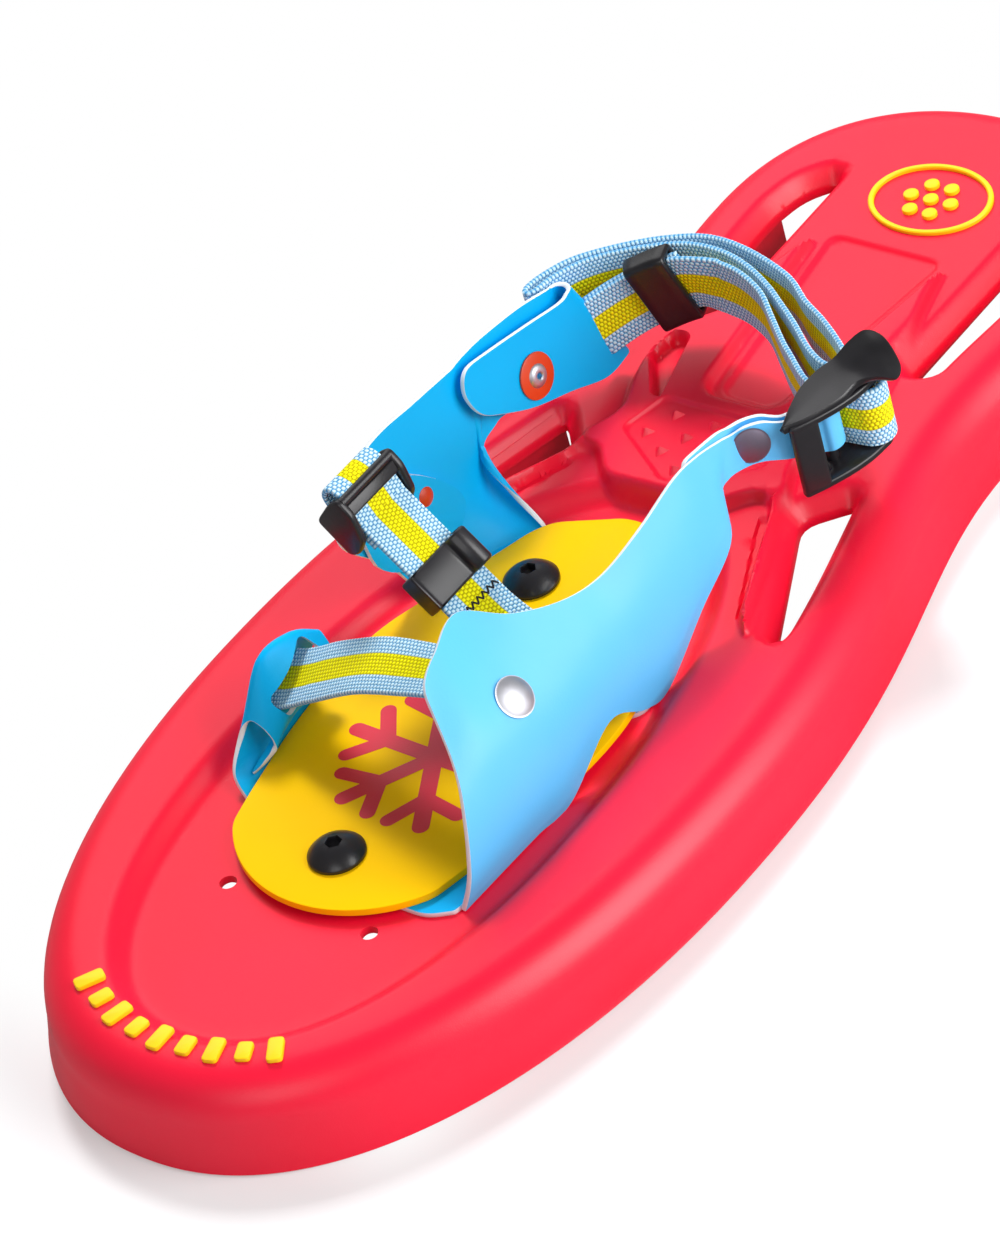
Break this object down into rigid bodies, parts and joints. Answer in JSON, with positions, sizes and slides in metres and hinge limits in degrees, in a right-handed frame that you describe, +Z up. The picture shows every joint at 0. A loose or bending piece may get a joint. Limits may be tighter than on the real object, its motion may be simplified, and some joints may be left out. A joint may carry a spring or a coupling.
{
  "type": "snowshoe",
  "caption": "Child's moulded plastic snowshoe with a skirted deck, sunk basin, slots and cleated heel pad, and a sheet binding with toe, instep and heel straps.",
  "frame": {"origin": "on the ground, below the middle of the deck", "axes": "+X to the side that carries the buckle of the heel strap, -Y to the toe, +Y to the tail, +Z up"},
  "size_m": [0.184, 0.445, 0.0895],
  "materials": {
    "black_plastic": "satin moulded",
    "bolt_black": "black semi-gloss coating",
    "deck_red": "satin moulded plastic with a fine grain",
    "harness_blue": "smooth satin sheet, near-white cut edges",
    "motif_yellow": "satin",
    "plate_yellow": "smooth satin sheet with a red printed snowflake",
    "rivet_steel": "polished, lightly worn",
    "washer_orange": "satin",
    "webbing": "woven webbing, light blue with a yellow stripe down the middle",
    "zinc": "zinc plated"
  },
  "bodies": {
    "snowshoe": {"deck": "deck_red", "toe_motif": "motif_yellow", "tail_motif": "motif_yellow", "foot_plate": "plate_yellow", "plate_bolts": "bolt_black", "bolt_washers": "zinc", "bolt_nuts": "zinc", "harness_base": "harness_blue", "near_wing": "harness_blue", "far_wing": "harness_blue", "instep_tab": "harness_blue", "toe_lug": "harness_blue", "toe_strap": "webbing", "instep_strap": "webbing", "heel_strap": "webbing", "heel_strap_tail": "webbing", "near_rivet": "rivet_steel", "arm_rivet": "rivet_steel", "far_eyelet": "rivet_steel", "far_washer": "washer_orange", "tab_rivet": "washer_orange", "lug_rivet": "rivet_steel"},
    "heel_buckle": {"heel_buckle": "black_plastic"},
    "heel_keeper": {"heel_keeper": "black_plastic"},
    "instep_buckle": {"instep_buckle": "black_plastic"},
    "instep_slider": {"instep_slider": "black_plastic"}
  },
  "joints": [
    {"name": "heel_buckle_tilt", "type": "hinge", "parent": "snowshoe", "child": "heel_buckle", "pos_m": [0.0525, 0.0445, 0.055], "axis": [0, 0, 1], "range_deg": [-4, 4]},
    {"name": "heel_keeper_slide", "type": "hinge", "parent": "snowshoe", "child": "heel_keeper", "pos_m": [-0.008, 0.042, 0.055], "axis": [-0.3047, -0.1553, 0.9397], "range_deg": [-1, 10]},
    {"name": "instep_buckle_tilt", "type": "hinge", "parent": "snowshoe", "child": "instep_buckle", "pos_m": [-0.02808, -0.05, 0.07811], "axis": [0, 1, 0], "range_deg": [-10, 10]},
    {"name": "instep_slider_slide", "type": "slide", "parent": "snowshoe", "child": "instep_slider", "axis": [0.7008, 0, -0.7133], "range_m": [-0.005, 0.005]}
  ]
}
